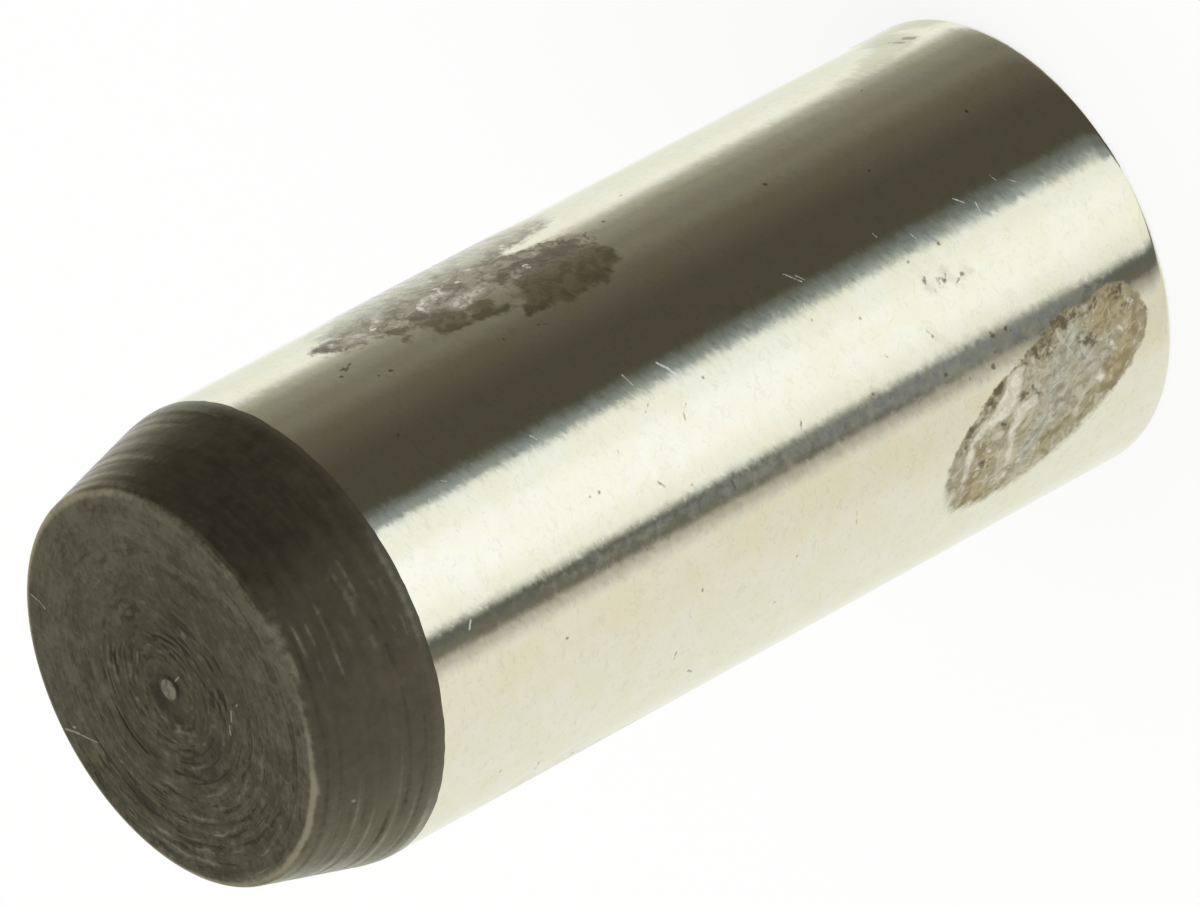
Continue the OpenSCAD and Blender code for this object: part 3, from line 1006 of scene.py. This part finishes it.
film = {
    # pairs of colours are mixed by noise
    "tan": (rgb(178, 171, 148), rgb(150, 142, 116)),
    "grey": (rgb(146, 145, 127), rgb(182, 181, 167)),
    "ochre": (rgb(133, 121, 86), rgb(163, 152, 115)),
    "rim": (rgb(112, 101, 73), rgb(146, 136, 105)),
    # painted shade for the film's hollows, and painted light for its crests
    "paintedHollowShade": rgb(118, 108, 82),
    "paintedCrestLight": rgb(206, 202, 187),
    "brown": (rgb(78, 69, 46), rgb(126, 115, 84)),
    "wiped": (rgb(198, 192, 172), rgb(217, 213, 198)),
    "fleck": rgb(214, 211, 197),
    "bump": 0.08,  # mm
    "roughness": 0.5,
}


def residueSteel():
    # The dried film: tan and ochre, grey inside, with a brown edge and places wiped nearly bare
    material, w, place, unrolled = startFinish("residueSteel")
    surface = groundSteel(w, place, unrolled, area=residueArea)
    x, y, z = place.parts()
    coarse = w.noise(place, 1.7, 2, 0.55, 0.6)
    middle = w.noise((x * 1.2, y * 1.2, z + x * 0.8), 2.7, 2, 0.6, 0.8)
    fine = w.noise(place, 5.0, 2, 0.6, 0.4)
    ragged = (coarse - 0.5) * 0.22 + (middle - 0.5) * 0.3 + (fine - 0.5) * 0.26
    edge = fieldOf(w, "residue") + ragged * 0.7
    soft = x.step(-4.3, -3.2).between(0.16, 0.04)
    inside = edge.step(soft, -soft)
    wiped = (fieldOf(w, "wiped") + ragged * 0.9).step(0.07, -0.05)
    whitish = (fieldOf(w, "whitish") + ragged * 1.6).step(0.2, -0.2)
    ochre = (fieldOf(w, "ochre") + ragged * 1.7).step(0.16, -0.2)
    rim = edge.step(-0.24, -0.03) * x.step(-4.2, -3.0)
    brown = (fieldOf(w, "brown") + ragged * 2.0).step(0.1, -0.1)
    flecks = nearLines(unrolled, unrolledMarks(residue["flecks"]))
    flecks = (flecks + (fine - 0.5) * 0.4).step(0.05, -0.04)
    colour = painted(
        mottled(middle, film["tan"]),
        (whitish * 0.92, mottled(middle, film["grey"])),
        (ochre * 0.95, mottled(middle, film["ochre"])),
        (rim * 0.65, mottled(middle, film["rim"], 0.4, 0.6)),
        # painted shade in the hollows and painted light on the crests of the bump's own noise
        (fine.step(0.47, 0.35) * 0.5, film["paintedHollowShade"]),
        (fine.step(0.55, 0.68) * 0.4, film["paintedCrestLight"]),
        (brown * 0.85, mottled(fine, film["brown"], 0.42, 0.6)),
        (wiped * 0.9, mottled(fine, film["wiped"], 0.4, 0.6)),
        (flecks * 0.7, film["fleck"]),
    )
    height = (middle * 0.5 + fine * 0.5) * film["bump"] * mm
    over = coating(w, {"colour": colour, "metal": 0.0, "rough": film["roughness"], "height": height})
    return endFinish(material, w, steelShader(w, place, surface), over, inside)


crust = {
    "stained": (rgb(164, 158, 140), rgb(194, 188, 172)),
    "tint": (rgb(106, 98, 80), rgb(143, 136, 118)),
    # painted shade for the crust's hollows, and painted light for its crests
    "paintedHollowShade": rgb(92, 83, 62),
    "paintedCrestLight": rgb(186, 181, 167),
    "dark": rgb(88, 82, 65),
    "whitish": (rgb(150, 144, 128), rgb(202, 198, 186)),
    # the colour of the painted glints
    "fleck": rgb(222, 219, 207),
    "bump": 0.035,  # mm
    "roughness": 0.4,
}


def stainedSteel():
    # The dull brown stain and its thin crust, with bright flecks that are painted glints on its flakes
    material, w, place, unrolled = startFinish("stainedSteel")
    surface = groundSteel(w, place, unrolled, area=stainArea)
    x, y, z = place.parts()
    coarse = w.noise(place, 1.5, 2, 0.6, 0.6)
    middle = w.noise(place, 3.2, 2, 0.6, 0.9)
    fine = w.noise(place, 7.5, 2, 0.6, 0.6)
    ragged = (coarse - 0.5) * 0.5 + (middle - 0.5) * 0.45 + (fine - 0.5) * 0.3
    dark = (fieldOf(w, "dark") + ragged * 0.5 + (coarse - 0.5) * 0.3).step(0.09, -0.09)
    surface = cover(surface, dark * 0.9, rough=0.2, colour=mottled(middle, crust["stained"], 0.4, 0.6))
    right = unrolled.parts()[0].step(5.4, 6.9)
    soft = right.between(0.1, 0.55)
    streaks = w.noise((x * 1.5 + z, y * 1.5, z * 5))
    cast = (fieldOf(w, "stain") + ragged).step(soft, -soft)
    cast = cast * right.between(0.95, 0.44) * (1 - right * streaks.step(0.42, 0.6) * 0.4)
    # pale patches of the crust, partly painted glitter where they catch the light
    whitish = (fieldOf(w, "whitish") + ragged * 0.9).step(0.12, -0.16)
    # painted glints: pale spots where flakes of the crust catch the light
    flecks = nearLines(unrolled, unrolledMarks(stain["glints"]))
    flecks = (flecks + (fine - 0.5) * 0.4).step(0.035, -0.035) * 0.8
    tint = painted(
        mottled(middle, crust["tint"]),
        # painted shade in the hollows and painted light on the crests of the bump's own noise
        (fine.step(0.46, 0.34) * 0.45, crust["paintedHollowShade"]),
        (fine.step(0.56, 0.7) * 0.35, crust["paintedCrestLight"]),
        (dark * 0.75, crust["dark"]),
        (whitish * 0.8, mottled(fine, crust["whitish"])),
        (flecks, crust["fleck"]),
    )
    height = (middle * 0.4 + fine * 0.6) * crust["bump"] * mm
    over = coating(w, {"colour": tint, "metal": 0.0, "rough": crust["roughness"], "height": height})
    return endFinish(material, w, steelShader(w, place, surface), over, cast.maths("MAXIMUM", flecks))


skin = {
    "dark": rgb(35, 32, 22),
    "pale": rgb(70, 68, 54),
    "leadDark": rgb(36, 31, 20),
    "leadPale": rgb(69, 65, 50),
    "green": rgb(46, 52, 38),
    "groove": rgb(18, 15, 9),
    "worn": rgb(113, 112, 99),
    "rimWornAndLit": rgb(119, 114, 96),
    "pip": (rgb(75, 73, 62), rgb(103, 101, 88)),
    "scratch": rgb(150, 147, 130),
    "thin": rgb(112, 106, 88),  # where the skin thins out, next to the shank
    # painted glints: pale spots on the lead where it catches the light
    "paintedGlints": [(-53.5, 22.12, 0.04)],  # as the specks
    "roughness": 0.32,
    "coat": 0.5,
    "faceCoat": 0.08,
    "bump": 0.02,  # mm
    "gloss": {"IOR": 1.36, "Coat Roughness": 0.2, "Coat IOR": 1.5},
}


def blackSkin():
    # The black skin of the hardened lead end, with turning marks that follow the relief
    material, w, place, unrolled = startFinish("blackSkin")
    x, y, z = place.parts()
    flat = w.joined(x, y, 0.0)
    radius = flat.vectors("LENGTH", out=1)
    onFace = z.step(*zones["face"])
    tone = fieldOf(w, "tone")
    mottle = w.noise(place, 2.2, 2, 0.6, 0.4)
    grain = w.noise(place, 6, 3, 0.6, 0.3)
    streaks = w.noise((x * 0.8, y * 0.8, z * 6))
    wayX, wayY = x / radius, y / radius
    turned = w.noise((wayX * 1.6, wayY * 1.6, radius * 7))
    cuts = w.noise((wayX * 4.5, wayY * 4.5, radius * 9))
    # fine rings and cuts on the face, strongest on the side towards -X
    amount = (wayY * 0.26 - wayX * 0.97).step(-0.1, 0.9).between(0.4, 1.0)
    amount = amount * radius.step(*zones["ringsStart"]) * radius.step(*zones["ringsEnd"]) * onFace
    rings = (radius * 25 + (mottle - 0.5) * 10).maths("SINE") * turned.step(0.42, 0.56) * 0.3
    rings = (rings + cuts.step(0.43, 0.32) * 0.2 - cuts.step(0.57, 0.67) * 0.6) * amount
    tone = tone + rings
    lines = onFace.between(streaks, turned)
    patchy = (mottle - 0.5) * onFace.between(0.5, 1.2) + (grain - 0.5) * onFace.between(0.25, 1.3)
    patchy = patchy + (lines - 0.5) * onFace.between(0.45, 0.7)
    green = w.noise(place, 1.3, 1, 0.5).step(0.52, 0.66) * 0.12 * onFace
    # grooves stay black and crests are rubbed pale; the pale on the rim and along the blend is partly
    # painted highlight
    rubbed = tone + (grain - 0.5) * onFace.between(0.6, 0.5)
    atRim = onFace * radius.step(*zones["rim"])
    # painted shade in the dish round the pip, which is also made rougher
    dishShadeAndDull = (radius + (mottle - 0.5) * 0.8).step(*zones["pipHalo"]) * onFace
    pipTop = radius.step(*zones["pipTop"]) * onFace
    colour = painted(
        onFace.blend(skin["leadDark"], skin["dark"]),
        # the field pale brings painted light, as well as the face's spots
        ((fieldOf(w, "pale") + patchy).step(-0.1, 1.1), onFace.blend(skin["leadPale"], skin["pale"])),
        (green, skin["green"]),
        (rubbed.step(-0.06, -0.7), skin["groove"]),
        # at the rim this pale is partly a painted highlight
        (rubbed.step(0.1, 1.0), atRim.blend(skin["worn"], skin["rimWornAndLit"])),
        (dishShadeAndDull * 0.6, skin["groove"]),
        (pipTop, mottled(grain, skin["pip"], 0.35, 0.65)),
    )
    shine = rubbed.maths("MINIMUM", 0.8).maths("MAXIMUM", -0.7) * (1 - onFace * 0.7)
    rough = skin["roughness"] - shine * 0.2 + (mottle - 0.5) * 0.12
    coat = onFace.between(skin["coat"], skin["faceCoat"]) + shine * 0.4
    surface = {"colour": colour, "metal": 0.0, "rough": rough, "coat": coat}
    surface = cover(surface, dishShadeAndDull, rough=0.5, coat=0.1)
    scratches = (nearLines(flat, faceScratches) + (grain - 0.5) * 0.06).step(0.014, -0.01) * onFace
    # painted glints on the lead
    spots = nearSpots(unrolled, unrolledMarks(skin["paintedGlints"]))
    spots = (spots + (grain - 0.5) * 0.1).step(0.03, -0.03) * (1 - onFace)
    surface = cover(surface, scratches.maths("MAXIMUM", spots) * 0.55, colour=skin["scratch"])
    thin = (z + (grain - 0.5) * 0.1).step(*zones["thin"]) * 0.12
    surface = cover(surface, thin, colour=skin["thin"])
    surface["height"] = (mottle * 0.4 + grain * 0.35 + rings * 0.3) * skin["bump"] * mm
    return endFinish(material, w, coating(w, surface, **skin["gloss"]))


for material in (plainSteel(), residueSteel(), stainedSteel(), blackSkin()):
    dowel.data.materials.append(material)
print("finishes ready")

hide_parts("pin")
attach(dowel, "root")
